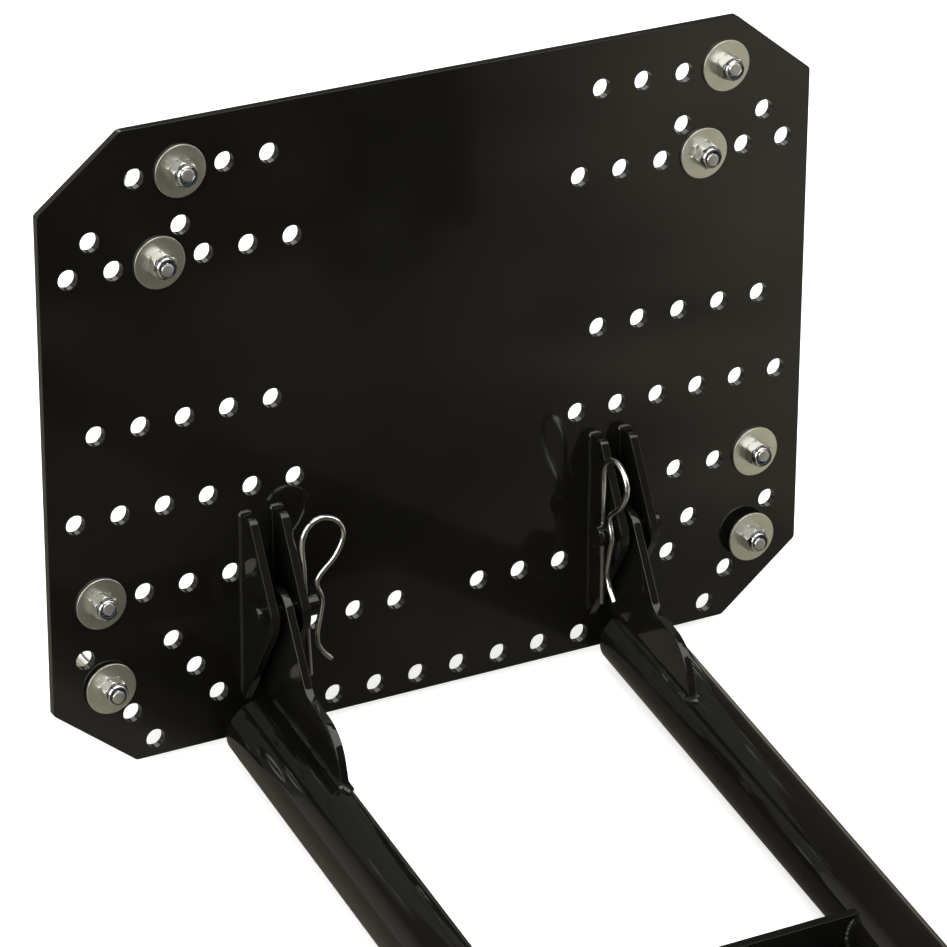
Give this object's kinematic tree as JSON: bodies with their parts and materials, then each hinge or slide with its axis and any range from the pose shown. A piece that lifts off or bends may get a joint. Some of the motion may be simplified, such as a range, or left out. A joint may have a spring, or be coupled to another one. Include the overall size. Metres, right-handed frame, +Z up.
{
  "type": "atv plow blade",
  "caption": "Snow plow for a quad bike: hole-patterned mount plate on pinned ears, twin-tube push frame, swivel head and spring-trip curved blade on skid shoes.",
  "frame": {"origin": "middle of the plow's length and width, on the floor", "axes": "+Z up, -Y forward towards the blade, +X across the plow"},
  "size_m": [1.27, 1.3584, 0.4205],
  "materials": {
    "black_coat": "gloss black powder coat",
    "zinc": "bright zinc plate",
    "spring_steel": "bright zinc plate",
    "nylon": "dark blue nylon",
    "cap_plastic": "satin black",
    "wear_steel": "black coat, worn at the edge",
    "shoe_iron": "painted cast iron"
  },
  "bodies": {
    "push_frame": {"push_tube_left": "black_coat", "push_tube_right": "black_coat", "tongue_left": "black_coat", "tongue_right": "black_coat", "rear_crossmember": "black_coat", "front_crossmember": "black_coat", "tube_caps": "cap_plastic", "bed_plate": "black_coat", "thrust_washer": "zinc", "kingpin": "zinc", "kingpin_nut": "zinc", "lift_lug": "black_coat"},
    "mount": {"mount_plate": "black_coat", "plate_washers": "zinc", "plate_nuts": "zinc", "nut_inserts": "nylon", "ubolt_top_left": "zinc", "ubolt_top_right": "zinc", "ubolt_low_left": "zinc", "ubolt_low_right": "zinc", "ear_left_inner": "black_coat", "ear_left_outer": "black_coat", "ear_right_inner": "black_coat", "ear_right_outer": "black_coat", "clevis_pin_left": "black_coat", "clevis_pin_right": "black_coat"},
    "clip_left": {"hairpin_left": "zinc"},
    "clip_right": {"hairpin_right": "zinc"},
    "swivel_head": {"swivel_plate": "black_coat", "swivel_beam": "black_coat", "hinge_bracket_left": "black_coat", "hinge_bracket_right": "black_coat", "spring_post_left": "black_coat", "spring_post_right": "black_coat", "trip_pins": "zinc", "trip_cotters": "zinc", "lock_housing": "black_coat", "trip_spring_left": "spring_steel", "trip_spring_right": "spring_steel"},
    "lock": {"lock_pin": "zinc", "lock_spring": "spring_steel"},
    "blade": {"moldboard": "black_coat", "rib_left_inner": "black_coat", "rib_left_outer": "black_coat", "rib_right_inner": "black_coat", "rib_right_outer": "black_coat", "top_brace": "black_coat", "spring_tabs": "black_coat", "wear_bar": "wear_steel", "wear_bolts": "zinc", "wear_nuts": "zinc", "skid_bracket_left": "black_coat", "skid_bracket_right": "black_coat"},
    "skid_left": {"skid_shoe_left": "shoe_iron", "skid_washers_left": "zinc", "linch_pin_left": "zinc"},
    "skid_right": {"skid_shoe_right": "shoe_iron", "skid_washers_right": "zinc", "linch_pin_right": "zinc"}
  },
  "joints": [
    {"name": "mount_fold", "type": "hinge", "parent": "push_frame", "child": "mount", "pos_m": [0, 0.54885, 0.09005], "axis": [1, 0, 0], "range_deg": [0, 110]},
    {"name": "clip_left_pull", "type": "slide", "parent": "mount", "child": "clip_left", "axis": [-0.0523, 0.2127, 0.9757], "range_m": [0, 0.09], "deforming": ["hairpin_left"]},
    {"name": "clip_right_pull", "type": "slide", "parent": "mount", "child": "clip_right", "axis": [0, 0.213, 0.977], "range_m": [0, 0.09], "deforming": ["hairpin_right"]},
    {"name": "blade_angle", "type": "hinge", "parent": "push_frame", "child": "swivel_head", "pos_m": [0, -0.40115, 0.05], "axis": [0, 0, 1], "range_deg": [-30, 30]},
    {"name": "lock_drop", "type": "slide", "parent": "swivel_head", "child": "lock", "axis": [0, 0, 1], "range_m": [-0.012, 0], "deforming": ["lock_spring"]},
    {"name": "blade_trip", "type": "hinge", "parent": "swivel_head", "child": "blade", "pos_m": [0, -0.54015, 0.105], "axis": [1, 0, 0], "range_deg": [0, 35], "stiffness_Nm_per_rad": 150, "springref_deg": -11.46, "deforming": ["trip_spring_left", "trip_spring_right"]},
    {"name": "skid_left_float", "type": "slide", "parent": "blade", "child": "skid_left", "axis": [0, 0, 1], "range_m": [-0.018, 0]},
    {"name": "skid_right_float", "type": "slide", "parent": "blade", "child": "skid_right", "axis": [0, 0, 1], "range_m": [-0.018, 0]}
  ]
}
